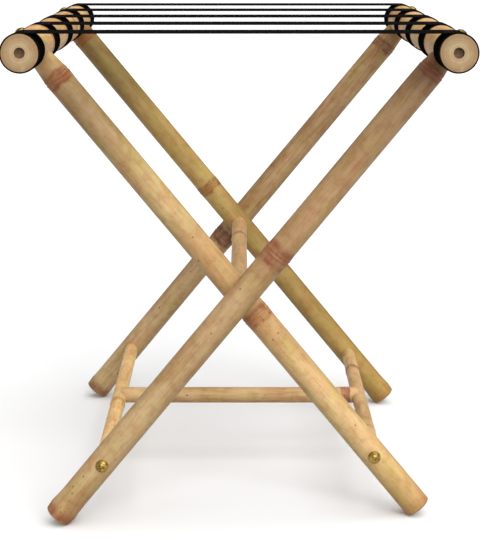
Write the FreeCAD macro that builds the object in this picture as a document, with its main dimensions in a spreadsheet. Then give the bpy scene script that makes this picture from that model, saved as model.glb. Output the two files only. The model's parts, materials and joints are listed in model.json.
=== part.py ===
"""Folding luggage rack of thick-walled bamboo poles with five black webbing straps.

Frame: X across the rack, Y along the rails, +Z up, origin on the floor at the centre of
the footprint. Lengths are in millimetres and angles in degrees.

Two crossed leg frames turn about a common pivot axis along Y:
  outer frame: right rail, two outer legs, left stretcher between their feet;
  inner frame: left rail, two inner legs, right stretcher, pivot crossbar.
The tie bar holds the two stretchers apart. It is dowelled to the left stretcher, turns
with it on its two bolts, and drops over the right stretcher with a coped hook.
"""
import FreeCAD, Part
import math
import os

from FreeCAD import Vector

FRONT, REAR = -1, 1
LEFT, RIGHT = -1, 1
ACROSS = Vector(1, 0, 0)
ALONG_Y = Vector(0, 1, 0)

doc = FreeCAD.newDocument("luggage_rack")

# ---------------------------------------------------------------- driving dimensions
DRIVING = {
    "rail_spacing": 460,        # between the rail axes
    "rail_height": 540,         # rail axis above the floor
    "rail_length": 684,
    "rail_diameter": 40,
    "rail_lumen": 11.6,         # natural hollow of the rail's culm
    "pivot_height": 260,
    "leg_diameter": 31,
    "leg_lumen": 7,             # natural hollow of a leg's culm
    "leg_gap": 1,               # between crossing legs, filled by the pivot washer
    "leg_inset": 75,            # outer leg's axis from the rail's end
    "foot_rounding": 2,
    "stretcher_height": 72.6,
    "stretcher_diameter": 18,
    "crossbar_diameter": 20,
    "socket_floor": 11.8,       # bottom of a stretcher's socket from the leg's axis
    "crossbar_floor": 11.4,     # bottom of the crossbar's socket from the leg's axis
    "turning_gap": 0.3,         # around wood that turns against wood
    "tie_bar_diameter": 20,
    "tie_bar_lift": 3.9,        # tie bar's axis above the stretchers' axes
    "tie_bar_lip": 1,           # hook's tip, short of the stretcher's crown
    "tie_bar_butt": 4,          # coped end, short of the left stretcher's crown
    "hook_release": 61,         # steepness of the way by which the stretcher leaves the hook
    "dowel_diameter": 8,
    "dowel_length": 40,
    "strap_width": 50,
    "strap_thickness": 1.3,
    "strap_gap": 0.3,           # between a strap's loop and the rail inside it
    "strap_inset": 1,           # end strap's edge from the rail's end
    "strap_count": 5,
    "bolt_diameter": 6,
    "bolt_clearance": 0.05,     # around a shank, on the radius
    "head_diameter": 14,
    "head_height": 6,
    "head_rim": 2,              # straight rim under the dome
    "hex_key": 4,
    "hex_depth": 2.6,
    "seat_clearance": 0.3,      # around a bolt head in its seat
    "insert_diameter": 10,
    "insert_length": 18,
    "insert_depth": 4,          # below the end of the pole
    "pin_diameter": 8,
    "pin_grip": 35,             # pin's length inside the crossbar
    "pin_bite": 25,             # pin's length inside the outer leg
    "pin_end_gap": 1,           # beyond the pin, in its blind hole
    "washer_diameter": 22,
    "washer_thickness": 0.9,
}

sheet = doc.addObject("Spreadsheet::Sheet", "sizes")
for row, (alias, value) in enumerate(DRIVING.items(), start=1):
    sheet.set(f"A{row}", alias)
    sheet.set(f"B{row}", str(value))
    sheet.setAlias(f"B{row}", alias)
doc.recompute()


def size(alias):
    """The sheet's value of one driving dimension."""
    return float(getattr(sheet, alias))


# ---------------------------------------------------------------- places worked out from them
half_spacing = size("rail_spacing") / 2
lean = math.atan2(half_spacing, size("rail_height") - size("pivot_height"))
leg_radius = size("leg_diameter") / 2
rail_radius = size("rail_diameter") / 2
outer_y = size("rail_length") / 2 - size("leg_inset")
inner_y = outer_y - size("leg_diameter") - size("leg_gap")
foot_radius = leg_radius - size("foot_rounding")
foot_height = (foot_radius * math.sin(lean)
               + size("foot_rounding") * (1 - math.cos(lean)))
foot_spread = (size("pivot_height") - foot_height) * math.tan(lean)
stretcher_x = (size("pivot_height") - size("stretcher_height")) * math.tan(lean)


def rail_axis(side, y=0.0):
    """A point on the axis of the left or right rail."""
    return Vector(side * half_spacing, y, size("rail_height"))


def foot_centre(side, y):
    """Centre of the foot of the leg that comes down on that side."""
    return Vector(side * foot_spread, y, foot_height)


def stretcher_axis(side, y=0.0):
    """A point on the axis of the left or right stretcher."""
    return Vector(side * stretcher_x, y, size("stretcher_height"))


def pivot_axis(y=0.0):
    """A point on the pivot axis."""
    return Vector(0, y, size("pivot_height"))


# ---------------------------------------------------------------- building blocks
def place(item, base, direction):
    """Puts an item's own +Z along direction, from base."""
    turn = FreeCAD.Rotation(Vector(0, 0, 1), direction)
    item.Placement = FreeCAD.Placement(base, turn)
    return item


def cylinder(name, radius, height, base, direction):
    """A round bar whose radius and height are expressions in the sheet's dimensions."""
    bar = doc.addObject("Part::Cylinder", name)
    bar.setExpression("Radius", radius)
    bar.setExpression("Height", height)
    return place(bar, base, direction)


def fuse(name, items):
    """The union of several items."""
    union = doc.addObject("Part::MultiFuse", name)
    union.Shapes = items
    return union


def cut(name, base, tools):
    """The base less each of its tools in turn."""
    result = base
    for number, tool in enumerate(tools, start=1):
        step = doc.addObject("Part::Cut", f"{name}_cut_{number}")
        step.Base = result
        step.Tool = tool
        result = step
    return result


def group(name, items):
    """Separate solids that share one node."""
    compound = doc.addObject("Part::Compound", name)
    compound.Links = items
    return compound


SUBPARTS = []


def finished(item, label):
    """Names a sub-part's file and puts it on the list to be written."""
    item.Label = label
    SUBPARTS.append(item)
    return item


# ---------------------------------------------------------------- fasteners
BOLT_HOLE = "sizes.bolt_diameter / 2 + sizes.bolt_clearance"
HEAD_SEAT = "sizes.head_diameter / 2 + sizes.seat_clearance"
HEX_CORNERS = "sizes.hex_key / cos(30 deg) / 2"


def bolt(name, seat, direction, shank):
    """A dome-headed bolt: its head bears on seat and its shank runs along direction."""
    cap_height = size("head_height") - size("head_rim")
    cap_radius = size("head_diameter") / 2
    ball = (cap_radius ** 2 + cap_height ** 2) / (2 * cap_height)
    outward = direction * -1
    dome = doc.addObject("Part::Sphere", name + "_dome")
    dome.Radius = ball
    dome.Angle1 = math.degrees(math.asin((ball - cap_height) / ball))
    place(dome, seat + outward * (size("head_height") - ball), outward)
    rim = cylinder(name + "_rim", "sizes.head_diameter / 2", "sizes.head_rim", seat, outward)
    stem = cylinder(name + "_stem", "sizes.bolt_diameter / 2", "1 mm", seat, direction)
    stem.setExpression("Height", f"{shank:.4f} mm")
    key = doc.addObject("Part::Prism", name + "_key")
    key.Polygon = 6
    key.setExpression("Circumradius", HEX_CORNERS)
    key.setExpression("Height", "sizes.head_height")
    place(key, seat + outward * (size("head_height") - size("hex_depth")), outward)
    return cut(name, fuse(name + "_solid", [dome, rim, stem]), [key])


def insert(name, mouth, direction):
    """A threaded sleeve, pressed into the end of a pole; the bolt's shank fills its bore."""
    start = mouth + direction * size("insert_depth")
    sleeve = cylinder(name + "_sleeve", "sizes.insert_diameter / 2", "sizes.insert_length",
                      start, direction)
    thread = cylinder(name + "_thread", "sizes.bolt_diameter / 2", "sizes.insert_length",
                      start, direction)
    return cut(name, sleeve, [thread])


def insert_hole(name, mouth, direction):
    """The hole that an insert sits in, cut from its bottom out past the end of the pole."""
    bottom = mouth + direction * (size("insert_depth") + size("insert_length"))
    return cylinder(name, "sizes.insert_diameter / 2",
                    "sizes.insert_depth + sizes.insert_length + sizes.bolt_diameter",
                    bottom, direction * -1)


def head_seat(name, seat, outward):
    """A flat seat cut square into a round pole for a bolt's head."""
    return cylinder(name, HEAD_SEAT, "sizes.head_diameter", seat, outward)


# ---------------------------------------------------------------- legs and rails
head_radius = size("head_diameter") / 2 + size("seat_clearance")
leg_seat = math.sqrt(leg_radius ** 2 - head_radius ** 2)
rail_seat = math.sqrt(rail_radius ** 2 - head_radius ** 2)

# name: side of the leg's top, Y of its plane, which end of the rack, whether outer
LEGS = {
    "leg_outer_front": (RIGHT, FRONT * outer_y, FRONT, True),
    "leg_outer_rear": (RIGHT, REAR * outer_y, REAR, True),
    "leg_inner_front": (LEFT, FRONT * inner_y, FRONT, False),
    "leg_inner_rear": (LEFT, REAR * inner_y, REAR, False),
}


def up_the_leg(side):
    """Unit vector from a leg's foot to the rail on that side."""
    return Vector(side * math.sin(lean), 0, math.cos(lean))


def leg(name, side, y, end, outer):
    """A pole from the floor to the underside of a rail, coped to fit round it."""
    foot = foot_centre(-side, y)
    axis = up_the_leg(side)
    inward = Vector(0, -end, 0)
    outward = Vector(0, end, 0)
    length = (rail_axis(side, y) - foot).Length
    pole = cylinder(name + "_pole", "sizes.leg_diameter / 2", f"{length:.4f} mm", foot, axis)
    pole.recompute()
    foot_edge = next(number for number, edge in enumerate(pole.Shape.Edges, start=1)
                     if edge.isClosed() and (edge.CenterOfMass - foot).Length < leg_radius / 2)
    rounded = doc.addObject("Part::Fillet", name + "_rounded")
    rounded.Base = pole
    rounded.Edges = [(foot_edge, size("foot_rounding"), size("foot_rounding"))]
    joint = rail_axis(side, y) - axis * rail_radius
    stretcher = stretcher_axis(-side, y)
    socket_radius = "sizes.stretcher_diameter / 2"
    if outer:
        socket_radius += " + sizes.turning_gap"
    tools = [
        cylinder(name + "_cope", "sizes.rail_diameter / 2", "sizes.rail_length",
                 rail_axis(side, -size("rail_length") / 2), ALONG_Y),
        cylinder(name + "_lumen", "sizes.leg_lumen / 2", f"{length:.4f} mm", foot, axis),
        insert_hole(name + "_insert_hole", joint, axis * -1),
        cylinder(name + "_socket", socket_radius, "sizes.leg_diameter",
                 stretcher + inward * size("socket_floor"), inward),
        cylinder(name + "_bolt_hole", BOLT_HOLE, "2 * sizes.leg_diameter",
                 stretcher + outward * size("leg_diameter"), inward),
        head_seat(name + "_head_seat", stretcher + outward * leg_seat, outward),
    ]
    if outer:
        pin_depth = size("pin_bite") + size("pin_end_gap")
        tools.append(cylinder(name + "_pin_hole", "sizes.pin_diameter / 2 + sizes.bolt_clearance",
                              "sizes.pin_bite + sizes.pin_end_gap",
                              pivot_axis(y) + inward * (leg_radius - pin_depth), inward))
    else:
        tools.append(cylinder(name + "_pin_hole", "sizes.pin_diameter / 2",
                              "2 * sizes.leg_diameter",
                              pivot_axis(y) + outward * size("leg_diameter"), inward))
        tools.append(cylinder(name + "_crossbar_socket", "sizes.crossbar_diameter / 2",
                              "sizes.leg_diameter",
                              pivot_axis(y) + inward * size("crossbar_floor"), inward))
    finished(cut(name, rounded, tools), name)


def rail(name, side, leg_ys):
    """A top rail, bored across for the bolts that hold its legs."""
    start = rail_axis(side, -size("rail_length") / 2)
    pole = cylinder(name + "_pole", "sizes.rail_diameter / 2", "sizes.rail_length", start, ALONG_Y)
    tools = [cylinder(name + "_lumen", "sizes.rail_lumen / 2", "sizes.rail_length",
                      start, ALONG_Y)]
    axis = up_the_leg(side)
    for number, y in enumerate(leg_ys, start=1):
        centre = rail_axis(side, y)
        tools.append(cylinder(f"{name}_bolt_hole_{number}", BOLT_HOLE, "2 * sizes.rail_diameter",
                              centre + axis * size("rail_diameter"), axis * -1))
        tools.append(head_seat(f"{name}_head_seat_{number}", centre + axis * rail_seat, axis))
    finished(cut(name, pole, tools), name)


def rail_fasteners(frame, side, leg_ys):
    """The bolts down through a rail into its two legs, and the inserts they screw into."""
    axis = up_the_leg(side)
    shank = rail_seat + rail_radius + size("insert_depth") + size("insert_length")
    bolts, inserts = [], []
    for number, y in enumerate(leg_ys, start=1):
        centre = rail_axis(side, y)
        bolts.append(bolt(f"{frame}_rail_bolt_{number}", centre + axis * rail_seat,
                          axis * -1, shank))
        inserts.append(insert(f"{frame}_leg_insert_{number}", centre - axis * rail_radius,
                              axis * -1))
    finished(group(f"{frame}_rail_bolts_group", bolts), f"rail_bolts_{frame}")
    finished(group(f"{frame}_leg_inserts_group", inserts), f"leg_inserts_{frame}")


outer_ys = [FRONT * outer_y, REAR * outer_y]
inner_ys = [FRONT * inner_y, REAR * inner_y]
for leg_name, (side, y, end, outer) in LEGS.items():
    leg(leg_name, side, y, end, outer)
rail("rail_right", RIGHT, outer_ys)
rail("rail_left", LEFT, inner_ys)
rail_fasteners("outer", RIGHT, outer_ys)
rail_fasteners("inner", LEFT, inner_ys)


# ---------------------------------------------------------------- stretchers
def stretcher(name, side, leg_y, gap, extra_cuts):
    """A pole between two feet, with a bolt and a threaded insert at each end."""
    reach = leg_y - size("socket_floor") - gap
    pole = cylinder(name + "_pole", "sizes.stretcher_diameter / 2", f"{2 * reach:.4f} mm",
                    stretcher_axis(side, -reach), ALONG_Y)
    tools = list(extra_cuts)
    bolts, inserts = [], []
    for end, word in ((FRONT, "front"), (REAR, "rear")):
        inward = Vector(0, -end, 0)
        mouth = stretcher_axis(side, end * reach)
        tools.append(insert_hole(f"{name}_insert_hole_{word}", mouth, inward))
        inserts.append(insert(f"{name}_insert_{word}", mouth, inward))
        seat = stretcher_axis(side, end * (leg_y + leg_seat + gap))
        length = (seat - mouth).Length + size("insert_depth") + size("insert_length")
        bolts.append(bolt(f"{name}_bolt_{word}", seat, inward, length))
    finished(cut(name, pole, tools), name)
    word = name.split("_")[1]
    finished(group(name + "_bolts", bolts), f"stretcher_bolts_{word}")
    finished(group(name + "_inserts", inserts), f"stretcher_inserts_{word}")


bar_axis = Vector(0, 0, size("stretcher_height") + size("tie_bar_lift"))
dowel_start = Vector(-stretcher_x - size("dowel_diameter") / 4, 0, bar_axis.z)
dowel_hole = cylinder("dowel_hole", "sizes.dowel_diameter / 2", "sizes.dowel_length",
                      dowel_start, ACROSS)
stretcher("stretcher_left", LEFT, outer_y, size("turning_gap"), [dowel_hole])
stretcher("stretcher_right", RIGHT, inner_y, 0, [])


# ---------------------------------------------------------------- tie bar
def tie_bar():
    """The bar between the stretchers, coped to the left one and hooked over the right one."""
    left_end = size("tie_bar_butt") - stretcher_x
    length = stretcher_x - size("tie_bar_lip") - left_end
    pole = cylinder("tie_bar_pole", "sizes.tie_bar_diameter / 2", f"{length:.4f} mm",
                    bar_axis + ACROSS * left_end, ACROSS)
    right = stretcher_axis(RIGHT)
    hook_radius = size("stretcher_diameter") / 2 + size("turning_gap")
    # The right stretcher leaves the hook down to the left as the frames close. Below the
    # point where that line touches the stretcher, the hook is cut straight along it.
    leave = math.radians(size("hook_release"))
    down = Vector(-math.cos(leave), 0, -math.sin(leave))
    beside = Vector(-math.sin(leave), 0, math.cos(leave))
    touch = right + beside * hook_radius
    depth = size("tie_bar_diameter") * 2
    width = size("tie_bar_diameter")
    outline = [touch, touch + down * depth, touch + down * depth - beside * depth,
               touch - beside * depth]
    outline = [Vector(p.x, -width, p.z) for p in outline]
    wedge = doc.addObject("Part::Feature", "tie_bar_relief")
    wedge.Shape = Part.Face(Part.makePolygon(outline + outline[:1])).extrude(ALONG_Y * 2 * width)
    tools = [
        cylinder("tie_bar_cope", "sizes.stretcher_diameter / 2", "sizes.tie_bar_diameter * 2",
                 stretcher_axis(LEFT, -size("tie_bar_diameter")), ALONG_Y),
        cylinder("tie_bar_hook", "sizes.stretcher_diameter / 2 + sizes.turning_gap",
                 "sizes.tie_bar_diameter * 2",
                 stretcher_axis(RIGHT, -size("tie_bar_diameter")), ALONG_Y),
        wedge,
        cylinder("tie_bar_dowel_hole", "sizes.dowel_diameter / 2", "sizes.dowel_length",
                 dowel_start, ACROSS),
    ]
    finished(cut("tie_bar", pole, tools), "tie_bar")
    dowel = cylinder("tie_bar_dowel", "sizes.dowel_diameter / 2", "sizes.dowel_length",
                     dowel_start, ACROSS)
    finished(dowel, "tie_bar_dowel")


tie_bar()


# ---------------------------------------------------------------- pivot
def pivot():
    """The crossbar between the inner legs, and at each end a pin and a washer."""
    reach = inner_y - size("crossbar_floor")
    pole = cylinder("crossbar_pole", "sizes.crossbar_diameter / 2", f"{2 * reach:.4f} mm",
                    pivot_axis(-reach), ALONG_Y)
    tools = []
    washers = []
    for end, word in ((FRONT, "front"), (REAR, "rear")):
        inward = Vector(0, -end, 0)
        outer_end = end * (outer_y - leg_radius + size("pin_bite"))
        length = outer_y - leg_radius + size("pin_bite") - reach + size("pin_grip")
        pin = cylinder(f"pivot_pin_{word}", "sizes.pin_diameter / 2", f"{length:.4f} mm",
                       pivot_axis(outer_end), inward)
        finished(pin, f"pivot_pin_{word}")
        tools.append(cylinder(f"crossbar_pin_hole_{word}", "sizes.pin_diameter / 2",
                              "sizes.pin_grip", pivot_axis(end * reach), inward))
        face = pivot_axis(end * (inner_y + leg_radius))
        disc = cylinder(f"washer_disc_{word}", "sizes.washer_diameter / 2",
                        "sizes.washer_thickness", face, inward * -1)
        hole = cylinder(f"washer_hole_{word}", "sizes.pin_diameter / 2", "sizes.leg_gap",
                        face, inward * -1)
        washers.append(cut(f"washer_{word}", disc, [hole]))
    finished(cut("pivot_crossbar", pole, tools), "pivot_crossbar")
    finished(group("pivot_washers", washers), "pivot_washers")


pivot()


# ---------------------------------------------------------------- straps
def strap(number, y):
    """A webbing strap with a sewn loop round each rail, drawn flat between their tops."""
    name = f"strap_{number}"
    edge = y - size("strap_width") / 2
    inner = "sizes.rail_diameter / 2 + sizes.strap_gap"
    outer = inner + " + sizes.strap_thickness"
    loops = [cylinder(f"{name}_loop_{word}", outer, "sizes.strap_width",
                      rail_axis(side, edge), ALONG_Y)
             for side, word in ((LEFT, "left"), (RIGHT, "right"))]
    holes = [cylinder(f"{name}_hole_{word}", inner, "sizes.strap_width",
                      rail_axis(side, edge), ALONG_Y)
             for side, word in ((LEFT, "left"), (RIGHT, "right"))]
    span = doc.addObject("Part::Box", name + "_span")
    span.setExpression("Length", "sizes.rail_spacing")
    span.setExpression("Width", "sizes.strap_width")
    span.setExpression("Height", "sizes.strap_thickness")
    underside = rail_radius + size("strap_gap")
    span.Placement.Base = rail_axis(LEFT, edge) + Vector(0, 0, underside)
    finished(cut(name, fuse(name + "_webbing", loops + [span]), holes), name)


strap_count = int(size("strap_count"))
first_y = -size("rail_length") / 2 + size("strap_inset") + size("strap_width") / 2
pitch = -2 * first_y / (strap_count - 1)
for index in range(strap_count):
    strap(index + 1, first_y + index * pitch)


# ---------------------------------------------------------------- checks and files
doc.recompute()
for item in doc.Objects:
    if {"Invalid", "Error"} & set(item.State):
        raise RuntimeError(f"{item.Name} failed: {item.State}")
for item in SUBPARTS:
    if item.Shape.isNull() or not item.Shape.isValid() or not item.Shape.Solids:
        raise RuntimeError(f"{item.Label} has no valid solid")

os.makedirs("parts", exist_ok=True)
for item in SUBPARTS:
    item.Shape.exportStep(f"parts/{item.Label}.step")
    print(f"{item.Label}: {len(item.Shape.Solids)} solid, {item.Shape.Volume:.0f} mm3")
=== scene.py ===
"""Looks of the folding luggage rack: bamboo poles, black webbing straps and brass bolts.

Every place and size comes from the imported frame, in metres: X across the rack, Y along
the rails and Z up. A pole is built in its own coordinates, with Z along it, and its
culm attribute keeps those coordinates, so that the grain runs with the pole.
"""

import itertools
import json
import math

import bmesh
import bpy
import numpy as np
from mathutils import Matrix, Vector


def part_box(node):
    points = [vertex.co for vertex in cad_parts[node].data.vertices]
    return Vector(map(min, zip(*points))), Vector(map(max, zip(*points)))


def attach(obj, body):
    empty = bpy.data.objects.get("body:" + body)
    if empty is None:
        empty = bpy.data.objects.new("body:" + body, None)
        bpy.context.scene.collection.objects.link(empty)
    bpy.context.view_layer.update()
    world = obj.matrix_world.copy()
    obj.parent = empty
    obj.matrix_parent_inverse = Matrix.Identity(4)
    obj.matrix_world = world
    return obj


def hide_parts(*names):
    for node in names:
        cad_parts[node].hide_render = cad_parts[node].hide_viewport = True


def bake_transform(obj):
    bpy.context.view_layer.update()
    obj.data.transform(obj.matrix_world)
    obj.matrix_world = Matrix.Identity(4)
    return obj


MM = 0.001
LEFT, RIGHT = -1, 1
FRONT, REAR = -1, 1
UP = Vector((0, 0, 1))

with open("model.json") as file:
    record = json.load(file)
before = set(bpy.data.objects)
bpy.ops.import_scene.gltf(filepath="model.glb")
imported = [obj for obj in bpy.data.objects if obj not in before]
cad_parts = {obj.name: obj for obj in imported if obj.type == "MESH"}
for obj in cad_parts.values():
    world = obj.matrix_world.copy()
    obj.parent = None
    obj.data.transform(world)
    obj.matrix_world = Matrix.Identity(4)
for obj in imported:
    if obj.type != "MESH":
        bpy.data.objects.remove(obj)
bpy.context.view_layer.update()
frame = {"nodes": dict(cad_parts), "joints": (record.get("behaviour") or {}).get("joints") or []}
scene = bpy.context.scene


# ---------------------------------------------------------------- places from the frame
def middle(node):
    """Centre of a CAD node's box."""
    low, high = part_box(node)
    return (low + high) / 2


def extent(node):
    """Size of a CAD node's box."""
    low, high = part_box(node)
    return high - low


def rear_end(node):
    """The greatest Y that a CAD node reaches."""
    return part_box(node)[1].y


fold = next(joint for joint in frame["joints"] if joint["name"] == "fold")
pivot = Vector(fold["pos_m"])
rail_centre = {LEFT: middle("rail_left"), RIGHT: middle("rail_right")}
rail_length = extent("rail_left").y
rail_radius = extent("rail_left").z / 2
leg_radius = extent("leg_outer_front").y / 2
outer_y = middle("leg_outer_rear").y        # the outer legs stand at plus and minus this
inner_y = middle("leg_inner_rear").y
lean = math.atan2(rail_centre[RIGHT].x - pivot.x, rail_centre[RIGHT].z - pivot.z)
stretcher_centre = {LEFT: middle("stretcher_left"), RIGHT: middle("stretcher_right")}
stretcher_radius = extent("stretcher_right").z / 2
crossbar_radius = extent("pivot_crossbar").z / 2
tie_bar_radius = extent("tie_bar").y / 2
pin_radius = extent("pivot_pin_front").z / 2
head_radius = extent("stretcher_bolts_left").x / 2
strap_width = extent("strap_1").y
strap_outer = extent("strap_1").z / 2       # outside of a loop, from its rail's axis

# Details that no node's box shows, as they are in CAD.
seat_clearance = 0.3 * MM       # around a bolt's head in its seat
turning_gap = 0.3 * MM          # around wood that turns against wood
shaft_clearance = 0.05 * MM     # around a bolt's shank and a turning pin
pin_end_gap = 1 * MM            # beyond a pin, in its blind hole
foot_rounding = 2 * MM
shank_radius = 3 * MM
strap_thickness = 1.3 * MM
hook_release = math.radians(61)     # steepness of the straight side of the tie bar's hook

# From a leg's axis: the bottoms of its stretcher's and crossbar's sockets and of its pin hole.
socket_floor = outer_y - turning_gap - rear_end("stretcher_left")
crossbar_floor = inner_y - rear_end("pivot_crossbar")
pin_floor = rear_end("pivot_pin_rear") + pin_end_gap - outer_y

# From a pole's axis: the flat seats cut into it for bolts' heads.
seat_radius = head_radius + seat_clearance
leg_seat = math.sqrt(leg_radius ** 2 - seat_radius ** 2)
rail_seat = math.sqrt(rail_radius ** 2 - seat_radius ** 2)
head_height = rear_end("stretcher_bolts_right") - inner_y - leg_seat


def up_the_leg(side):
    """Unit vector from a leg's foot to the rail on that side."""
    return Vector((side * math.sin(lean), 0, math.cos(lean)))


def leg_length(node):
    """From the middle of a leg's foot to its rail's axis."""
    foot_radius = leg_radius - foot_rounding
    below = foot_radius * math.sin(lean) + foot_rounding * (1 - math.cos(lean))
    return (rail_centre[LEFT].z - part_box(node)[0].z - below) / math.cos(lean)


# ---------------------------------------------------------------- node materials
class Finish:
    """A Principled material, with short calls that add nodes to it."""

    def __init__(self, name, seed=0):
        self.material = bpy.data.materials.new(name)
        self.material.use_nodes = True
        self.tree = self.material.node_tree
        self.shader = self.tree.nodes["Principled BSDF"]
        # Each seed takes its patterns from another place in the noise.
        self.offset = (7.3 * seed, 3.1 * seed, 5.7 * seed)

    def give(self, socket, value):
        """Links a socket to another node's output, or sets its value."""
        if isinstance(value, bpy.types.NodeSocket):
            self.tree.links.new(value, socket)
        else:
            socket.default_value = value

    def node(self, kind, inputs, **settings):
        """A new node with its settings and its inputs, by name or number."""
        made = self.tree.nodes.new(kind)
        for key, value in settings.items():
            setattr(made, key, value)
        for key, value in inputs.items():
            self.give(made.inputs[key], value)
        return made

    def attribute(self, name, output="Vector"):
        """A mesh attribute."""
        return self.node("ShaderNodeAttribute", {}, attribute_name=name).outputs[output]

    def place(self):
        """A point's place in its object, for pieces that have no attributes."""
        return self.node("ShaderNodeTexCoord", {}).outputs["Object"]

    def math(self, operation, *values):
        """A number worked out from one to three others."""
        inputs = dict(enumerate(values))
        return self.node("ShaderNodeMath", inputs, operation=operation).outputs[0]

    def product(self, first, second):
        """Two numbers multiplied."""
        return self.math("MULTIPLY", first, second)

    def stretched(self, vector, scales, offset=(0, 0, 0)):
        """A vector times a scale on each of its axes, plus an offset."""
        made = self.node("ShaderNodeVectorMath", {0: vector, 1: scales, 2: offset},
                         operation="MULTIPLY_ADD")
        return made.outputs[0]

    def noise(self, vector, scales, detail=3.0, roughness=0.55):
        """Noise from 0 to 1 with so many features a metre along each axis."""
        inputs = {"Vector": self.stretched(vector, scales, self.offset), "Scale": 1.0,
                  "Detail": detail, "Roughness": roughness}
        return self.node("ShaderNodeTexNoise", inputs).outputs[0]

    def rings(self, distance, count):
        """Noise that changes only with a distance, with so many features a metre."""
        inputs = {"W": self.product(distance, count), "Scale": 1.0, "Detail": 2.0}
        return self.node("ShaderNodeTexNoise", inputs, noise_dimensions="1D").outputs[0]

    def dots(self, vector, scales):
        """Distance to the nearest of scattered points, so many a metre along each axis."""
        inputs = {"Vector": self.stretched(vector, scales, self.offset), "Scale": 1.0}
        return self.node("ShaderNodeTexVoronoi", inputs).outputs["Distance"]

    def step(self, value, low, high, least=0.0, most=1.0):
        """A smooth step between two numbers, as the value goes from low to high."""
        inputs = {"Value": value, "From Min": low, "From Max": high,
                  "To Min": least, "To Max": most}
        return self.node("ShaderNodeMapRange", inputs,
                         interpolation_type="SMOOTHSTEP").outputs[0]

    def band(self, distance, width):
        """1 where a signed distance is 0, down to 0 where it is a width away."""
        return self.step(self.math("ABSOLUTE", distance), 0.0, width, 1.0, 0.0)

    def mix(self, share, first, second):
        """A colour between two others."""
        inputs = {0: share, 6: first, 7: second}
        return self.node("ShaderNodeMix", inputs, data_type="RGBA").outputs[2]

    def times(self, first, factors):
        """A colour with each of its parts multiplied."""
        made = self.node("ShaderNodeVectorMath", {0: first, 1: factors}, operation="MULTIPLY")
        return made.outputs[0]

    def toned(self, shade, changes):
        """A colour that patterns change in turn.

        A change is (pattern, low, high, least, most, factors): as the pattern goes from
        low to high, the share of the colour that is multiplied goes from least to most."""
        for pattern, low, high, least, most, factors in changes:
            share = self.step(pattern, low, high, least, most)
            shade = self.mix(share, shade, self.times(shade, factors))
        return shade

    def ramp(self, value, stops):
        """A colour that changes smoothly through stops of (value, colour)."""
        low, high = stops[0][0], stops[-1][0]
        share = self.node("ShaderNodeMapRange",
                          {"Value": value, "From Min": low, "From Max": high}).outputs[0]
        made = self.node("ShaderNodeValToRGB", {"Fac": share})
        made.color_ramp.interpolation = "B_SPLINE"
        while len(made.color_ramp.elements) < len(stops):
            made.color_ramp.elements.new(1.0)
        for element, (at, shade) in zip(made.color_ramp.elements, stops):
            element.position = (at - low) / (high - low)
            element.color = shade
        return made.outputs[0]

    def bump(self, height, distance, strength=1.0, below=None):
        """A bump of so many metres, on top of an earlier one."""
        inputs = {"Height": height, "Distance": distance, "Strength": strength}
        if below is not None:
            inputs["Normal"] = below
        return self.node("ShaderNodeBump", inputs).outputs[0]

    def finish(self, **inputs):
        """Gives the shader its inputs, whose names have _ for a space."""
        for key, value in inputs.items():
            self.give(self.shader.inputs[key.replace("_", " ")], value)
        return self.material


def colour(red, green, blue):
    """A colour from its screen values, 0 to 255, as the shader's linear one."""
    linear = [((c / 255 + 0.055) / 1.055) ** 2.4 if c > 10 else c / 255 / 12.92
              for c in (red, green, blue)]
    return (*linear, 1.0)


# The darker rings of a node, each (place across its stain, half-width, strength), and the
# place and half-width of its groove. A stain goes from -1 to 1.
NODE_RINGS = ((0.62, 0.34, 0.60), (-0.05, 0.24, 0.40), (-0.58, 0.30, 0.70))
NODE_GROOVE, GROOVE_WIDTH = 0.25, 0.10
SPECK = colour(112, 60, 36)
SPECK_CORE, SPECK_RIM = 1.4 * MM, 2.6 * MM
STAIN_TOP, STAIN_WHOLE = 17 * MM, 6 * MM        # of a stained foot, from its end
PORES_TOP, PORES_WHOLE = 22 * MM, 9 * MM


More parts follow.
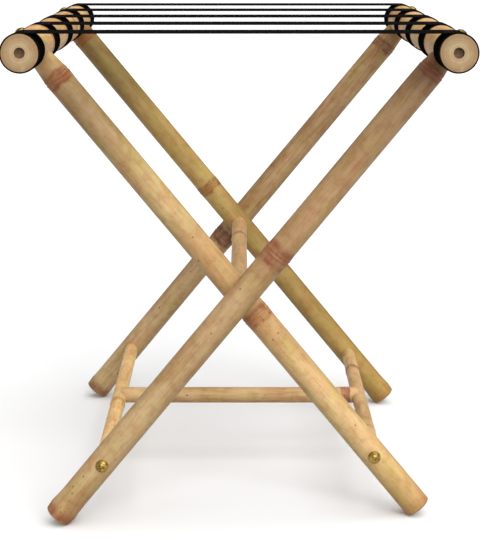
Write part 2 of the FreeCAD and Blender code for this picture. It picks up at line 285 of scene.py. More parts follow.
def bamboo_skin(name, tones_and_painted_shade, scar, streaks=0.5, foot_stain=0.0, specks=(), seed=0):
    """The outside of a culm: fibres, mottled tones, stained nodes and specks.

    tones are stops of (metres from the culm's start, colour), which on a leg hold painted shade
    below its rail, and specks are points on it."""
    made = Finish(name, seed)
    culm = made.attribute("culm")
    node = made.attribute("node", "Fac")
    mark = made.attribute("mark", "Fac")
    foot = made.attribute("foot", "Fac")
    slow = made.noise(culm, (35, 35, 9), detail=2.0)
    hue = made.noise(culm, (60, 60, 24))
    fibre = made.noise(culm, (1300, 1300, 12), roughness=0.7)
    fine = made.noise(culm, (3800, 3800, 70), detail=2.0)
    streak = made.noise(culm, (190, 190, 18), roughness=0.6)
    thin_streak = made.noise(culm, (460, 460, 38), detail=2.0, roughness=0.6)
    blotch = made.noise(culm, (120, 120, 60), detail=4.0, roughness=0.6)
    cloud = made.noise(culm, (75, 75, 75), detail=4.0, roughness=0.65)

    # The tone stops carry painted shade: on a leg they darken just below its rail, as the rail and
    # straps shade it.
    brightest = made.times(made.ramp(foot, tones_and_painted_shade), (1.09, 1.12, 1.12))
    shade = made.toned(brightest, (
        (slow, 0.36, 0.66, 0.0, 1.0, (0.81, 0.76, 0.68)),
        (hue, 0.36, 0.50, 1.0, 0.0, (0.98, 1.03, 0.87)),
        (hue, 0.50, 0.66, 0.0, 1.0, (1.02, 0.92, 0.90)),
        (fibre, 0.42, 0.78, 0.0, 0.34, (0.78, 0.70, 0.62)),
        (fine, 0.50, 0.80, 0.0, 0.35, (1.10, 1.12, 1.14)),
        (streak, 0.47, 0.64, 0.0, streaks, (0.78, 0.62, 0.50)),
        (thin_streak, 0.50, 0.64, 0.0, streaks, (0.82, 0.70, 0.60)),
        (thin_streak, 0.34, 0.46, 0.6 * streaks, 0.0, (1.12, 1.16, 1.18)),
        (cloud, 0.48, 0.64, 0.0, 0.75, (0.86, 0.77, 0.69)),
        (cloud, 0.34, 0.48, 0.55, 0.0, (1.10, 1.13, 1.11)),
    ))
    shade = made.mix(made.step(blotch, 0.58, 0.76, 0.0, 0.26), shade, scar)

    # A node: a cloudy patch crossed by uneven darker rings.
    wander = made.math("MULTIPLY_ADD", cloud, 1.3, -0.65)
    stain = made.math("ABSOLUTE", made.math("ADD", node, wander))
    stain = made.step(stain, 0.45, 1.15, 1.0, 0.0)
    stain = made.product(stain, made.step(blotch, 0.34, 0.60, 0.5, 1.0))
    shade = made.mix(made.product(stain, made.product(mark, 0.75)), shade, scar)
    dark = made.mix(0.5, scar, colour(88, 40, 24))
    for place, width, strength in NODE_RINGS:
        past = made.math("MULTIPLY_ADD", wander, 0.7, made.math("SUBTRACT", node, place))
        ring = made.product(made.band(past, width),
                            made.step(blotch, 0.36, 0.58, 0.2, strength))
        shade = made.mix(made.product(ring, mark), shade, dark)
    past = made.math("SUBTRACT", node, NODE_GROOVE)
    groove = made.product(made.product(made.band(past, GROOVE_WIDTH), mark),
                          made.step(streak, 0.40, 0.6, 0.0, 0.55))
    shade = made.mix(groove, shade, dark)

    scattered = made.step(made.dots(culm, (40, 40, 26)), 0.030, 0.055, 0.75, 0.0)
    shade = made.mix(scattered, shade, SPECK)
    for point in specks:
        away = made.node("ShaderNodeVectorMath", {0: culm, 1: point}, operation="DISTANCE")
        away = made.math("MULTIPLY_ADD", cloud, 1.6 * MM, away.outputs["Value"])
        shade = made.mix(made.step(away, SPECK_CORE, SPECK_RIM, 0.6, 0.0), shade, SPECK)
    if foot_stain:
        stained = made.product(made.step(foot, STAIN_TOP, STAIN_WHOLE),
                               made.step(blotch, 0.34, 0.56, 0.5 * foot_stain, foot_stain))
        shade = made.mix(stained, shade, scar)
        pores = made.step(made.dots(culm, (330, 330, 240)), 0.16, 0.34, foot_stain, 0.0)
        pores = made.product(pores, made.step(foot, PORES_TOP, PORES_WHOLE))
        shade = made.mix(pores, shade, dark)

    normal = made.bump(fibre, 0.25 * MM, 0.55)
    normal = made.bump(blotch, 0.8 * MM, 0.25, normal)
    return made.finish(Base_Color=shade, Roughness=made.step(fibre, 0.2, 0.9, 0.42, 0.64),
                       Normal=normal, Specular_IOR_Level=0.25, Coat_Weight=0.04,
                       Coat_Roughness=0.4)


def bamboo_end(name, radius, pale, deep):
    """The sawn end of a culm: fine rings, fibre dots and patches, browner to its rim."""
    made = Finish(name)
    culm = made.attribute("culm")
    across = made.stretched(culm, (1, 1, 0))
    out = made.node("ShaderNodeVectorMath", {0: across}, operation="LENGTH").outputs["Value"]
    wander = made.noise(culm, (120, 120, 120))
    about = made.math("MULTIPLY_ADD", wander, 2.0 * MM, out)
    ring = made.rings(about, 520)
    blotch = made.noise(culm, (70, 70, 70))
    fibres = made.product(made.step(made.dots(culm, (900, 900, 60)), 0.12, 0.34, 0.5, 0.0),
                          made.step(wander, 0.3, 0.7, 0.2, 0.8))

    shade = made.mix(made.step(about, 0.45 * radius, 1.08 * radius), pale, deep)
    shade = made.toned(shade, (
        (ring, 0.38, 0.60, 0.0, 0.65, (0.84, 0.78, 0.70)),
        (ring, 0.34, 0.48, 0.5, 0.0, (1.09, 1.11, 1.12)),
    ))
    shade = made.mix(fibres, shade, colour(132, 92, 60))
    shade = made.mix(made.step(blotch, 0.50, 0.70, 0.0, 0.4), shade, colour(176, 112, 82))
    shade = made.mix(made.step(blotch, 0.32, 0.46, 0.35, 0.0), shade, colour(206, 176, 136))
    normal = made.bump(made.noise(culm, (1700, 1700, 1700)), 0.2 * MM, 0.5)
    return made.finish(Base_Color=shade, Roughness=made.step(wander, 0.2, 0.8, 0.62, 0.8),
                       Normal=normal)


def bamboo_pith():
    """The hollow of a culm, dull, papery and mottled."""
    made = Finish("bamboo_pith")
    mottle = made.noise(made.attribute("culm"), (300, 300, 300))
    shade = made.mix(made.step(mottle, 0.3, 0.7), colour(138, 110, 82), colour(102, 78, 58))
    return made.finish(Base_Color=shade, Roughness=made.step(mottle, 0.2, 0.8, 0.8, 0.95),
                       Normal=made.bump(mottle, 0.6 * MM, 0.6))


RIB_PITCH, WEFT_PITCH = 2.0 * MM, 1.3 * MM      # of the webbing's weave


def webbing():
    """Flat woven polypropylene: ribs along the strap crossed by the weft."""
    made = Finish("webbing")
    weave = made.attribute("weave")
    split = made.node("ShaderNodeSeparateXYZ", {0: weave})
    across, along = split.outputs[0], split.outputs[1]
    warp = made.math("SINE", made.product(across, math.tau / RIB_PITCH))
    shift = made.product(made.math("SIGN", warp), math.pi / 2)
    weft = made.math("SINE", made.math("MULTIPLY_ADD", along, math.tau / WEFT_PITCH, shift))
    yarn = made.math("MULTIPLY_ADD", made.math("ABSOLUTE", warp), 0.6, made.product(weft, 0.4))
    lint = made.noise(weave, (1400, 500, 1), detail=2.0)
    shade = made.mix(made.step(yarn, -0.3, 1.0), colour(2, 2, 2), colour(30, 30, 31))
    shade = made.mix(made.step(lint, 0.55, 0.8, 0.0, 0.4), shade, colour(46, 46, 48))
    return made.finish(Base_Color=shade, Roughness=made.step(yarn, -0.5, 1.0, 0.85, 0.62),
                       Normal=made.bump(yarn, 0.25 * MM, 0.7), Specular_IOR_Level=0.0)


def thread():
    """Twisted black sewing thread."""
    made = Finish("thread")
    ply = made.noise(made.attribute("weave"), (2600, 900, 1), detail=1.0)
    shade = made.mix(ply, colour(8, 8, 9), colour(34, 34, 36))
    return made.finish(Base_Color=shade, Roughness=made.step(ply, 0.3, 0.7, 0.45, 0.65),
                       Normal=made.bump(ply, 0.15 * MM))


def metal(name, bright, dull, roughness, scratch_scales):
    """Metal with fine scratches and duller patches."""
    made = Finish(name)
    here = made.place()
    scratch = made.noise(here, scratch_scales, detail=2.0)
    patch = made.noise(here, (220, 220, 220))
    shade = made.mix(made.step(patch, 0.35, 0.7), bright, dull)
    gloss = made.step(made.math("ADD", scratch, patch), 0.6, 1.4, roughness, roughness + 0.22)
    return made.finish(Base_Color=shade, Roughness=gloss, Metallic=1.0,
                       Normal=made.bump(scratch, 0.05 * MM, 0.4))


def plain_wood():
    """Turned dowel wood."""
    made = Finish("dowel_wood")
    grain = made.noise(made.place(), (30, 900, 900))
    shade = made.mix(grain, colour(214, 182, 138), colour(176, 140, 98))
    return made.finish(Base_Color=shade, Roughness=made.step(grain, 0.3, 0.7, 0.55, 0.7),
                       Normal=made.bump(grain, 0.1 * MM))


def nylon():
    """Milky moulded nylon."""
    made = Finish("nylon")
    mottle = made.noise(made.place(), (500, 500, 500))
    shade = made.mix(mottle, colour(222, 218, 208), colour(204, 199, 188))
    return made.finish(Base_Color=shade, Roughness=made.step(mottle, 0.3, 0.7, 0.42, 0.55),
                       Normal=made.bump(mottle, 0.05 * MM))


# ---------------------------------------------------------------- mesh building
TURNS = 72
SKIN, SAWN, HOLLOW = range(3)       # the materials of a culm
SLIVER = 0.001 * MM


def new_object(name, data):
    """An object in the scene."""
    made = bpy.data.objects.new(name, data)
    scene.collection.objects.link(made)
    return made


def solid(name, points, faces, material_of_face=None):
    """A smooth mesh object from points, an N by 3 array, and faces."""
    mesh = bpy.data.meshes.new(name)
    mesh.from_pydata([tuple(p) for p in points], [], faces)
    if material_of_face is not None:
        mesh.polygons.foreach_set("material_index", material_of_face)
    mesh.polygons.foreach_set("use_smooth", [True] * len(mesh.polygons))
    mesh.update()
    return new_object(name, mesh)


def between(start, end):
    """The matrix that takes +Z to the way from start to end, and +Y to near the frame's Y or Z."""
    along = (end - start).normalized()
    across = UP if abs(along.y) > 0.7 else Vector((0, 1, 0))
    side = across.cross(along).normalized()
    turn = Matrix((side, along.cross(side), along)).transposed()
    return Matrix.Translation(start) @ turn.to_4x4()


def hexagon(angles):
    """Radius of a hexagon whose corners are at 1, in each direction."""
    sector = np.mod(angles, math.pi / 3) - math.pi / 6
    return math.cos(math.pi / 6) / np.cos(sector)


def lathe(profile, shape=None):
    """Points, faces and materials of a closed turned solid about +Z.

    profile is a list of (along, radius, hexness, material), with its two ends on the axis.
    The faces between two rings take the second ring's material.
    shape(along, angles) gives what to multiply a ring's radius by."""
    angles = np.arange(TURNS) * math.tau / TURNS
    points, faces, materials = [(0, 0, profile[0][0])], [], []
    for along, radius, hexness, _ in profile[1:-1]:
        ring = radius * (1 - hexness + hexness * hexagon(angles))
        if shape is not None:
            ring = ring * shape(along, angles)
        points += list(zip(ring * np.cos(angles), ring * np.sin(angles), np.full(TURNS, along)))
    points.append((0, 0, profile[-1][0]))
    last = len(points) - 1
    rings = len(profile) - 2
    for turn in range(TURNS):
        following = (turn + 1) % TURNS
        faces.append((0, 1 + following, 1 + turn))
        materials.append(profile[1][3])
        for row in range(rings - 1):
            low, high = 1 + row * TURNS, 1 + (row + 1) * TURNS
            faces.append((low + turn, low + following, high + following, high + turn))
            materials.append(profile[row + 2][3])
        base = 1 + (rings - 1) * TURNS
        faces.append((base + turn, base + following, last))
        materials.append(profile[-1][3])
    return np.array(points, float), faces, materials


def moved(points, matrix):
    """Points taken through a matrix."""
    matrix = np.array(matrix)
    return points @ matrix[:3, :3].T + matrix[:3, 3]


def give_attribute(mesh, name, values):
    """Stores one number or one vector for each point of a mesh."""
    kind, key = ("FLOAT", "value") if values.ndim == 1 else ("FLOAT_VECTOR", "vector")
    attribute = mesh.attributes.new(name, kind, "POINT")
    attribute.data.foreach_set(key, values.astype(np.float32).ravel())


def points_of(mesh):
    """A mesh's points as an N by 3 array."""
    flat = np.zeros(len(mesh.vertices) * 3, np.float32)
    mesh.vertices.foreach_get("co", flat)
    return flat.reshape(-1, 3).astype(float)


def cutter(start, end, radius):
    """A round bar to be cut away, whose surface leaves sawn wood."""
    length = (end - start).length
    profile = [(along, wide, 0, SAWN)
               for along, wide in ((0, 0), (0, radius), (length, radius), (length, 0))]
    points, faces, materials = lathe(profile)
    return solid("cutter", moved(points, between(start, end)), faces, materials)


def slab(corner, *edges):
    """A box to be cut away, from one corner and the three edges that leave it."""
    points = [corner + sum((edge for edge, taken in zip(edges, choice) if taken), Vector())
              for choice in itertools.product((0, 1), repeat=3)]
    faces = [(0, 1, 3, 2), (4, 6, 7, 5), (0, 4, 5, 1), (2, 3, 7, 6), (0, 2, 6, 4), (1, 5, 7, 3)]
    return solid("slab", points, faces, [SAWN] * len(faces))


def without_slivers(mesh):
    """Merges points less than a micrometre apart, which a cut leaves where edges meet."""
    work = bmesh.new()
    work.from_mesh(mesh)
    bmesh.ops.remove_doubles(work, verts=work.verts, dist=SLIVER)
    bmesh.ops.dissolve_degenerate(work, edges=work.edges, dist=SLIVER)
    work.to_mesh(mesh)
    work.free()


def cut_away(piece, cutters, materials):
    """Takes the cutters out of a piece and removes them."""
    for taken in cutters:
        for material in materials:
            taken.data.materials.append(material)
        step = piece.modifiers.new("cut", "BOOLEAN")
        step.operation = "DIFFERENCE"
        step.solver = "EXACT"
        step.object = taken
    graph = bpy.context.evaluated_depsgraph_get()
    mesh = bpy.data.meshes.new_from_object(piece.evaluated_get(graph), depsgraph=graph)
    piece.modifiers.clear()
    without_slivers(mesh)
    piece.data = mesh
    for taken in cutters:
        bpy.data.objects.remove(taken)


# ---------------------------------------------------------------- culms
STATION_STEP = 9 * MM
STATION_DIGITS = 4          # decimals of a metre; stations that are alike to these are merged
LEG_LUMEN, RAIL_LUMEN, SLIM_LUMEN = 3.5 * MM, 5.8 * MM, 2 * MM      # radii of the hollows
# A node's low swelling, its sharp scar ridge, the groove above it and a second ridge, each
# (millimetres past the node, millimetres high, millimetres to either side).
NODE_HUMPS = ((0, 0.55, 9), (0, 0.40, 1.2), (2.2, -0.30, 1.0), (4.4, 0.22, 1.6))
NECK_WIDTH = 24 * MM
FLARE_PLACE, FLARE_WIDTH = 11 * MM, 8 * MM


def bell(distance, width):
    """A smooth hump, 1 at the middle."""
    return math.exp(-(distance / width) ** 2)


def culm_profile(length, radius, lumen, nodes, rounding, neck, flare):
    """The profile of a pole from its start, inside its hollow, to the same at its end.

    neck is by how much of its radius it narrows at its end, and flare how much it widens
    at its start. A thin pole has smaller humps at its nodes than a leg has."""
    stations = set(np.arange(rounding, length - rounding, STATION_STEP))
    stations |= {length - rounding}
    for node in nodes:
        stations |= {node + offset * MM for offset in np.arange(-14, 15, 2)}
        stations |= {node + offset * MM for offset in np.arange(-4, 7.2, 0.7)}
    stations = sorted({round(station, STATION_DIGITS) for station in stations
                       if rounding <= station <= length - rounding})
    swell = min(1.0, radius / leg_radius) * MM

    def outside(along):
        """The pole's radius at a station."""
        wide = radius
        wide -= radius * neck * bell(length - along, NECK_WIDTH)
        wide += radius * flare * bell(along - FLARE_PLACE, FLARE_WIDTH)
        for node in nodes:
            for past, high, spread in NODE_HUMPS:
                wide += high * swell * bell(along - node - past * MM, spread * MM)
        return wide

    def end(face, inward):
        """From the axis at the bottom of the hollow, up its wall and over the sawn face."""
        edge = outside(face)
        depth = 1.1 * lumen
        rings = [(depth + 0.3 * lumen, 0, HOLLOW), (depth + 0.2 * lumen, 0.5 * lumen, HOLLOW),
                 (depth, 0.92 * lumen, HOLLOW), (depth - 0.1 * lumen, lumen, HOLLOW),
                 (0.4 * MM, lumen, HOLLOW), (0, lumen + 0.4 * MM, SAWN)]
        for share in (0.25, 0.5, 0.75):
            rings.append((0, lumen + share * (edge - rounding - lumen), SAWN))
        for angle in np.linspace(math.pi / 2, 0, 5):
            rings.append((rounding * (1 - math.sin(angle)),
                          edge - rounding * (1 - math.cos(angle)), SAWN))
        return [(face + inward * back, wide, 0, kind) for back, wide, kind in rings]

    # A face takes its second ring's material, so the far end's first ring counts as skin.
    first, *rest = end(length, -1)[::-1]
    skin = [(station, outside(station), 0, SKIN) for station in stations[1:-1]]
    return end(0.0, 1) + skin + [(*first[:3], SKIN)] + rest


def culm(name, node, body, slot_name, start, end, radius, lumen, skins, nodes=(),
         rounding=0.5 * MM, neck=0.0, flare=0.0, cutters=(), seed=0):
    """A pole that stands for a CAD node.

    nodes are (place from its start, how strongly marked, how far its stain reaches)."""
    length = (end - start).length
    matrix = between(start, end)

    def shape(along, angles):
        """Slightly out of round, and not the same all along."""
        return (1 + 0.008 * np.sin(2 * angles + seed + 5 * along)
                + 0.005 * np.sin(3 * angles + 2 * seed - 11 * along)
                + 0.004 * math.sin(23 * along + seed))

    places = [place for place, _, _ in nodes]
    profile = culm_profile(length, radius, lumen, places, rounding, neck, flare)
    points, faces, materials = lathe(profile, shape)
    piece = solid(name, moved(points, matrix), faces, materials)
    for skin in skins:
        piece.data.materials.append(skin)
    if cutters:
        cut_away(piece, cutters, skins)
    mesh = piece.data
    mesh.name = name

    # Where each point is on the pole, and how far from its nearest node, for the patterns.
    local = moved(points_of(mesh), matrix.inverted())
    along = local[:, 2]
    distance, strength = np.full(len(along), math.inf), np.zeros(len(along))
    for place, mark, reach in nodes:
        past = (along - place) / reach
        closer = np.abs(past) < np.abs(distance)
        distance[closer] = past[closer]
        strength[np.abs(past) < 2] = mark
    give_attribute(mesh, "culm", local)
    give_attribute(mesh, "node", distance)
    give_attribute(mesh, "mark", strength)
    give_attribute(mesh, "foot", along)
    mesh.set_sharp_from_angle(angle=math.radians(40))
    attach(piece, body)
    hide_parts(node)


pith = bamboo_pith()
end_pale, end_deep = colour(187, 162, 122), colour(156, 126, 87)
sawn = bamboo_end("bamboo_sawn", leg_radius, end_pale, end_deep)
sawn_rail = bamboo_end("bamboo_sawn_rail", rail_radius, end_pale, end_deep)
RED = colour(146, 84, 56)
ORANGE = colour(180, 104, 56)
INSIDE_RAIL = 8 * MM        # a leg's end before it is coped, from its rail's axis

# Each leg's side at the rail, its end, whether it is outer, its tones and nodes at so many
# millimetres below the rail's axis, and by how much it narrows at the rail and flares at
# the foot. The tones hold painted shade: they are darker just below the rail, where the rail
# and straps above shade the leg, and on the outer rear leg they are raised there instead,
# painted light that offsets that shadow. A node is (place, how strongly marked, how far its
# stain reaches), and a speck on the front is (place, how far to the right of the leg's middle).
LEGS = {
    "leg_outer_front": dict(
        side=RIGHT, end=FRONT, outer=True, scar=RED, streaks=0.4, foot_stain=0.9,
        tones_and_painted_shade=((680, (181, 149, 106)), (620, (187, 157, 114)), (460, (186, 158, 117)),
               (340, (183, 149, 111)), (260, (179, 143, 106)), (150, (186, 152, 114)),
               (60, (168, 138, 106)), (26, (150, 118, 86))),
        nodes=((33, 0.9, 9), (298, 1.0, 16)), neck=0.18, flare=0.08,
        specks=((409, -2), (645, -10), (651, -6), (660, -3))),
    "leg_outer_rear": dict(
        side=RIGHT, end=REAR, outer=True, scar=colour(118, 64, 46), streaks=0.6,
        foot_stain=0.7,
        tones_and_painted_shade=((680, (202, 174, 130)), (460, (172, 143, 109)), (300, (191, 157, 115)),
               (180, (168, 137, 102)), (100, (200, 168, 125)), (40, (174, 143, 104))),
        nodes=((44, 0.9, 9), (396, 1.0, 13)), neck=0.18, flare=0.055, specks=()),
    "leg_inner_front": dict(
        side=LEFT, end=FRONT, outer=False, scar=colour(158, 86, 48), streaks=0.3,
        foot_stain=0.3,
        tones_and_painted_shade=((690, (202, 164, 110)), (600, (212, 178, 128)), (400, (207, 173, 123)),
               (220, (203, 173, 122)), (150, (193, 163, 118)), (100, (169, 141, 102)),
               (60, (163, 132, 90)), (26, (196, 163, 116))),
        nodes=((46, 1.0, 11), (394, 0.9, 11)), neck=0.20, flare=0.0,
        specks=((277, 3), (423, 7), (425, -2), (562, 7))),
    "leg_inner_rear": dict(
        side=LEFT, end=REAR, outer=False, scar=colour(156, 98, 44), streaks=0.3,
        foot_stain=0.4,
        tones_and_painted_shade=((680, (172, 139, 77)), (540, (172, 141, 82)), (400, (161, 132, 78)),
               (230, (210, 177, 112)), (150, (163, 136, 80)), (100, (138, 115, 66)),
               (40, (154, 127, 74))),
        nodes=((27, 1.0, 9), (296, 1.0, 9)), neck=0.04, flare=0.06,
        specks=((330, -3), (496, 10))),
}


def even(red, green, blue):
    """Stops for a skin of one tone."""
    return [(0.0, colour(red, green, blue)), (1.0, colour(red, green, blue))]


def leg(name, side, end, outer, tones_and_painted_shade, scar, streaks, foot_stain, nodes, neck, flare, specks,
        seed):
    """A leg from the floor to the underside of its rail."""
    y = middle(name).y
    axis = up_the_leg(side)
    length = leg_length(name)
    at_rail = Vector((rail_centre[side].x, y, rail_centre[side].z))
    foot = at_rail - axis * length
    stretcher = Vector((stretcher_centre[-side].x, y, stretcher_centre[-side].z))
    crossing = Vector((pivot.x, y, pivot.z))
    outward = Vector((0, end, 0))
    far = outward * 2 * leg_radius
    gap = turning_gap if outer else 0
    cutters = [
        cutter(at_rail - far, at_rail + far, rail_radius),
        cutter(stretcher - outward * socket_floor, stretcher - far, stretcher_radius + gap),
        cutter(stretcher + outward * leg_seat, stretcher + far, seat_radius),
        cutter(stretcher - far, stretcher + outward * (leg_seat + MM),
               shank_radius + shaft_clearance),
    ]
    if outer:
        cutters.append(cutter(crossing - far, crossing + outward * pin_floor,
                              pin_radius + shaft_clearance))
    else:
        cutters.append(cutter(crossing - outward * crossbar_floor, crossing - far,
                              crossbar_radius))
        cutters.append(cutter(crossing - far, crossing + far, pin_radius))
    # These stops hold painted shade below the rail, from the tones listed in LEGS.
    stops = [(length - below * MM, colour(*shade)) for below, shade in tones_and_painted_shade]
    spots = [(across * MM, -math.sqrt(leg_radius ** 2 - (across * MM) ** 2), length - below * MM)
             for below, across in specks]
    skin = bamboo_skin(name + "_skin", stops, scar, streaks, foot_stain, spots, seed)
    culm(name + "_culm", name, "outer_frame" if outer else "inner_frame", "bamboo_leg",
         foot, at_rail - axis * INSIDE_RAIL, leg_radius, LEG_LUMEN, [skin, sawn, pith],
         nodes=[(length - below * MM, mark, reach * MM) for below, mark, reach in nodes],
         rounding=foot_rounding, neck=neck, flare=flare, cutters=cutters, seed=seed)


for seed, (name, facts) in enumerate(LEGS.items()):
    leg(name, seed=seed, **facts)


def rail(name, side, body, nodes, seed):
    """A top rail with its two sawn ends and the seats of its bolts.

    nodes are metres from its front end."""
    half = Vector((0, rail_length / 2, 0))
    axis = up_the_leg(side)
    cutters = []
    for leg_name, facts in LEGS.items():
        if facts["side"] == side:
            centre = Vector((rail_centre[side].x, middle(leg_name).y, rail_centre[side].z))
            cutters.append(cutter(centre + axis * rail_seat, centre + axis * 2 * rail_radius,
                                  seat_radius))
    skin = bamboo_skin(name + "_skin", even(223, 179, 121), colour(176, 100, 60), seed=seed)
    culm(name + "_culm", name, body, "bamboo_rail", rail_centre[side] - half,
         rail_centre[side] + half, rail_radius, RAIL_LUMEN, [skin, sawn_rail, pith],
         nodes=[(place, 0.8, 10 * MM) for place in nodes], cutters=cutters, seed=seed)


rail("rail_left", LEFT, "inner_frame", [0.155, 0.43], 11)
rail("rail_right", RIGHT, "outer_frame", [0.21, 0.50], 12)


def slim_pole(name, body, ends, radius, tone, scar, nodes, seed, cutters=()):
    """A thin pole. nodes are (metres from its first end, how strongly marked)."""
    skin = bamboo_skin(name + "_skin", even(*tone), scar, seed=seed)
    culm(name + "_culm", name, body, "bamboo_slim", *ends, radius, SLIM_LUMEN,
         [skin, sawn, pith], nodes=[(place, mark, 8 * MM) for place, mark in nodes],
         cutters=cutters, seed=seed)


def ends_along_y(node):
    """The two ends of a node's axis, front first, where it runs along Y."""
    low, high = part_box(node)
    centre = middle(node)
    return Vector((centre.x, low.y, centre.z)), Vector((centre.x, high.y, centre.z))


POLES_ALONG_Y = {
    # The left stretcher's tone is partly its own pale wood and partly painted light, raised to
    # offset the shade it sits in.
    "stretcher_left": dict(body="tie_bar_assembly", radius=stretcher_radius, seed=21,
                           tone=(250, 210, 148), scar=ORANGE, nodes=((0.22, 0.7),)),
    "stretcher_right": dict(body="inner_frame", radius=stretcher_radius, seed=22,
                            tone=(214, 176, 128), scar=RED, nodes=((0.352, 0.9), (0.07, 0.3))),
    "pivot_crossbar": dict(body="inner_frame", radius=crossbar_radius, seed=23,
                           tone=(210, 170, 119), scar=RED, nodes=((0.33, 0.6),)),
}
for name, facts in POLES_ALONG_Y.items():
    slim_pole(name, ends=ends_along_y(name), **facts)


def tie_bar():
    """The bar between the stretchers, fixed to the left one and hooked over the right one."""
    low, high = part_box("tie_bar")
    height = middle("tie_bar").z
    ends = Vector((low.x, 0, height)), Vector((high.x, 0, height))
    left, right = stretcher_centre[LEFT], stretcher_centre[RIGHT]
    half = Vector((0, 2 * tie_bar_radius, 0))
    hook_radius = stretcher_radius + turning_gap
    # The hook lifts off along a straight side, a slab that reaches well below the bar.
    reach = 4 * tie_bar_radius
    down = Vector((-math.cos(hook_release), 0, -math.sin(hook_release)))
    beside = Vector((-math.sin(hook_release), 0, math.cos(hook_release)))
    cutters = [cutter(left - half, left + half, stretcher_radius),
               cutter(right - half, right + half, hook_radius),
               slab(right + beside * hook_radius - half, down * reach, -beside * reach, 2 * half)]
    slim_pole("tie_bar", "tie_bar_assembly", ends, tie_bar_radius, (205, 170, 125), RED,
              ((0.285, 1.0),), 24, cutters)


tie_bar()


# ---------------------------------------------------------------- straps
LAP = math.radians(14)          # the loop's end stops this far from the top, under the span
LOOP_STEPS, SPAN_STEPS, WIDTH_STEPS = 72, 94, 26
STITCH_ROWS = (5 * MM, 9 * MM, 13 * MM)         # from a rail's axis, towards the span
STITCH_LENGTH, STITCH_WIDTH, STITCH_PITCH = 2.6 * MM, 0.22 * MM, 3.6 * MM
UNSEWN_EDGE = 3 * MM
strap_middle = strap_outer - strap_thickness / 2


def strap_line():
    """The middle of a strap's thickness, seen along the rails, as points and unit normals.

    It starts under the span at the left rail, goes down and out round that rail, over its
    top, across, and round the right rail in the same way."""
    round_rail = np.linspace(LAP, math.tau, LOOP_STEPS)
    centre = {side: np.array([rail_centre[side].x, rail_centre[side].z])
              for side in (LEFT, RIGHT)}
    line = []
    for angle in round_rail:
        outward = np.array([math.sin(angle), math.cos(angle)])
        line.append((centre[LEFT] + strap_middle * outward, outward))
    for x in np.linspace(rail_centre[LEFT].x, rail_centre[RIGHT].x, SPAN_STEPS)[1:-1]:
        line.append((np.array([x, rail_centre[LEFT].z + strap_middle]), np.array([0.0, 1.0])))
    for angle in round_rail[::-1]:
        outward = np.array([-math.sin(angle), math.cos(angle)])
        line.append((centre[RIGHT] + strap_middle * outward, outward))
    return line


def strap_section():
    """The outline of a strap's section as (across, above), with thick rounded selvedges."""
    half_height = strap_thickness / 2
    edge = strap_width / 2 - half_height
    outline = []
    for side in (RIGHT, LEFT):
        for across in np.linspace(-edge, edge, WIDTH_STEPS):
            outline.append((side * across, side * half_height))
        for angle in np.radians(np.linspace(60, -60, 5)):
            outline.append((side * (edge + half_height * math.cos(angle)),
                            side * half_height * math.sin(angle)))
    return np.array(outline)


def tube(rings, around):
    """Faces of a closed tube, from its number of rings and of points around each."""
    faces = []
    for ring in range(rings - 1):
        low, high = ring * around, (ring + 1) * around
        for side in range(around):
            after = (side + 1) % around
            faces.append((low + side, high + side, high + after, low + after))
    last = (rings - 1) * around
    faces.append(tuple(range(around)))
    faces.append(tuple(range(last, last + around))[::-1])
    return faces


def stitch(place):
    """One stitch of thread, a low bead lying across a strap, as points and faces."""
    sides, steps = 6, 5
    points = []
    for step in range(steps):
        share = step / (steps - 1)
        girth = STITCH_WIDTH * math.sin(math.pi * (0.12 + 0.76 * share))
        for side in range(sides):
            angle = math.tau * side / sides
            points.append((place[0] + girth * math.cos(angle),
                           place[1] + STITCH_LENGTH * (share - 0.5),
                           place[2] + girth * math.sin(angle)))
    return points, tube(steps, sides)


def strap(name, woven, sewn):
    """A strap with its two loops, its span and the stitches that close the loops."""
    line, section = strap_line(), strap_section()
    y = middle(name).y
    points, weave = [], []
    travelled, before = 0.0, line[0][0]
    for place, normal in line:
        travelled += float(np.linalg.norm(place - before))
        before = place
        for across, above in section:
            spot = place + normal * above
            points.append((spot[0], y + across, spot[1]))
            weave.append((across, travelled, 0))
    faces = tube(len(line), len(section))
    materials = [0] * len(faces)

    top = rail_centre[LEFT].z + strap_outer
    count = int((strap_width - 2 * UNSEWN_EDGE) / STITCH_PITCH)
    for side, row, number in itertools.product((LEFT, RIGHT), STITCH_ROWS, range(count)):
        x = rail_centre[side].x - side * row
        across = (number - (count - 1) / 2) * STITCH_PITCH
        beads, loops = stitch((x, y + across, top))
        base = len(points)
        points += beads
        weave += [(across, x, 0)] * len(beads)
        faces += [tuple(base + corner for corner in loop) for loop in loops]
        materials += [1] * len(loops)

    piece = solid(name + "_webbing", np.array(points), faces, materials)
    piece.data.materials.append(woven)
    piece.data.materials.append(sewn)
    piece.data.set_sharp_from_angle(angle=math.radians(50))
    give_attribute(piece.data, "weave", np.array(weave))
    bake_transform(piece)
    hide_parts(name)


woven, sewn = webbing(), thread()
for number in range(1, 6):
    strap(f"strap_{number}", woven, sewn)


# ---------------------------------------------------------------- bolts
RAIL_BOLT, STRETCHER_BOLT = 60 * MM, 44 * MM        # below the head, a little less than in CAD
HEAD_RIM = 2.0 * MM
KEY_RADIUS, KEY_DEPTH = 2.3 * MM, 2.6 * MM


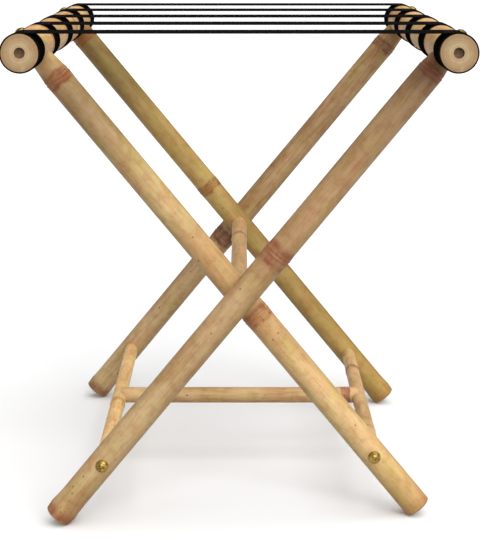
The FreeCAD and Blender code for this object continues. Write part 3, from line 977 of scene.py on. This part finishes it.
def bolt(seat, outward, length):
    """Points and faces of a dome-headed bolt with a hexagon socket, its head on the seat."""
    high, key = head_height, KEY_RADIUS
    # The socket, with a bevel round its mouth.
    profile = [(high - KEY_DEPTH, 0, 0, 0), (high - KEY_DEPTH, 0.6 * key, 1, 0),
               (high - KEY_DEPTH, key, 1, 0), (high - 0.25 * MM, key, 1, 0),
               (high - 0.02 * MM, key + 0.25 * MM, 0.9, 0)]
    dome = high - HEAD_RIM
    ball = (head_radius ** 2 + dome ** 2) / (2 * dome)
    for share in np.linspace(0.45, 0.94, 9):
        out = share * head_radius
        profile.append((high - ball + math.sqrt(ball ** 2 - out ** 2), out, 0, 0))
    # The rim with its rounded edges, then the shank with its bevelled tip.
    profile += [(HEAD_RIM + 0.12 * MM, head_radius - 0.25 * MM, 0, 0),
                (HEAD_RIM - 0.15 * MM, head_radius, 0, 0),
                (0.35 * MM, head_radius, 0, 0), (0, head_radius - 0.35 * MM, 0, 0),
                (0, shank_radius + 0.3 * MM, 0, 0), (-0.3 * MM, shank_radius, 0, 0),
                (MM - length, shank_radius, 0, 0), (-length, shank_radius - MM, 0, 0),
                (-length, 0, 0, 0)]
    points, faces, _ = lathe(profile)
    # The profile runs down from the head, so its faces have to be turned over.
    faces = [face[::-1] for face in faces]
    return moved(points, between(seat, seat + outward)), faces


def bolts(node, body, places, length, brass):
    """One object for all the bolts of a CAD node."""
    points, faces = np.zeros((0, 3)), []
    for seat, outward in places:
        more, loops = bolt(seat, outward, length)
        faces += [tuple(len(points) + corner for corner in loop) for loop in loops]
        points = np.vstack((points, more))
    piece = solid(node + "_brass", points, faces)
    piece.data.materials.append(brass)
    piece.data.set_sharp_from_angle(angle=math.radians(35))
    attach(piece, body)
    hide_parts(node)


brass = metal("aged_brass", colour(182, 152, 80), colour(112, 92, 46), 0.27, (90, 900, 900))
for side, word, body, leg_y in ((RIGHT, "outer", "outer_frame", outer_y),
                                (LEFT, "inner", "inner_frame", inner_y)):
    axis = up_the_leg(side)
    bolts(f"rail_bolts_{word}", body,
          [(Vector((rail_centre[side].x, end * leg_y, rail_centre[side].z)) + axis * rail_seat,
            axis) for end in (FRONT, REAR)], RAIL_BOLT, brass)
for side, word, body, reach in (
        (LEFT, "left", "tie_bar_assembly", outer_y + leg_seat + turning_gap),
        (RIGHT, "right", "inner_frame", inner_y + leg_seat)):
    centre = stretcher_centre[side]
    bolts(f"stretcher_bolts_{word}", body,
          [(Vector((centre.x, end * reach, centre.z)), Vector((0, end, 0)))
           for end in (FRONT, REAR)], STRETCHER_BOLT, brass)


# ---------------------------------------------------------------- hidden fastenings
zinc = metal("zinc", colour(168, 170, 168), colour(120, 122, 122), 0.35, (900, 90, 900))
steel = metal("bright_steel", colour(186, 187, 189), colour(150, 151, 153), 0.25, (900, 60, 900))
HIDDEN = {
    "leg_inserts_outer": zinc, "leg_inserts_inner": zinc, "stretcher_inserts_left": zinc,
    "stretcher_inserts_right": zinc, "pivot_pin_front": steel, "pivot_pin_rear": steel,
    "pivot_washers": nylon(), "tie_bar_dowel": plain_wood(),
}
for node, material in HIDDEN.items():
    mesh = frame["nodes"][node].data
    mesh.materials.clear()
    mesh.materials.append(material)


# ---------------------------------------------------------------- camera, light and floor
# The photo's camera is level, with its frame shifted far down. Here most of that shift is
# a tilt, because a shift stays when the camera goes round and would crop the other views.
EYE = Vector((0.0, -2.1332, 0.6725))
CAMERA_TILT = math.radians(8.76)
LENS, SENSOR = 114.2, 36.0                      # millimetres
SHIFT_ACROSS, SHIFT_UP = 0.0043, -0.15          # in lengths of the picture's longer side
SKY_LIGHT, SKY_SEEN = 0.36, 1.0                 # its strength as light and as the backdrop
FLOOR_SIZE = 60.0


def aim(obj, place, target):
    """Puts an object at a place, looking at a target."""
    obj.location = place
    obj.rotation_mode = "QUATERNION"
    obj.rotation_quaternion = (target - place).to_track_quat("-Z", "Y")


def far_light(name, towards, spread, power):
    """Even soft light from far away; spread is the angle it fills."""
    data = bpy.data.lights.new(name, "SUN")
    data.angle = math.radians(spread)
    data.energy = power * math.pi
    aim(new_object(name, data), Vector((0, 0, 0)), Vector(towards))


camera_data = bpy.data.cameras.new("camera")
camera_data.sensor_width = SENSOR
camera_data.lens = LENS
camera_data.shift_x = SHIFT_ACROSS
camera_data.shift_y = SHIFT_UP
scene.camera = new_object("camera", camera_data)
aim(scene.camera, EYE, EYE + Vector((0, math.cos(CAMERA_TILT), -math.sin(CAMERA_TILT))))

far_light("overhead", (-0.25, 0.2, -1.0), 70, 0.60)
far_light("front", (-0.25, 1.0, -0.55), 50, 0.70)

world = bpy.data.worlds.new("studio")
scene.world = world
world.use_nodes = True
sky = world.node_tree.nodes["Background"]
sky.inputs["Color"].default_value = (1, 1, 1, 1)
ray = world.node_tree.nodes.new("ShaderNodeLightPath")
strength = world.node_tree.nodes.new("ShaderNodeMapRange")
strength.inputs["To Min"].default_value = SKY_LIGHT
strength.inputs["To Max"].default_value = SKY_SEEN
world.node_tree.links.new(ray.outputs["Is Camera Ray"], strength.inputs["Value"])
world.node_tree.links.new(strength.outputs[0], sky.inputs["Strength"])
scene.view_settings.view_transform = "Standard"

reach = FLOOR_SIZE / 2
floor = solid("floor", np.array([(-reach, -reach, 0), (reach, -reach, 0), (reach, reach, 0),
                                 (-reach, reach, 0)], float), [(0, 1, 2, 3)])
paper = Finish("paper")
tooth = paper.noise(paper.place(), (300, 300, 300), detail=1.0)
shade = paper.mix(tooth, (0.95, 0.95, 0.95, 1), (0.97, 0.97, 0.97, 1))
floor.data.materials.append(paper.finish(Base_Color=shade, Roughness=0.9))
floor.visible_diffuse = False       # so that the undersides stay as dark as in the photo
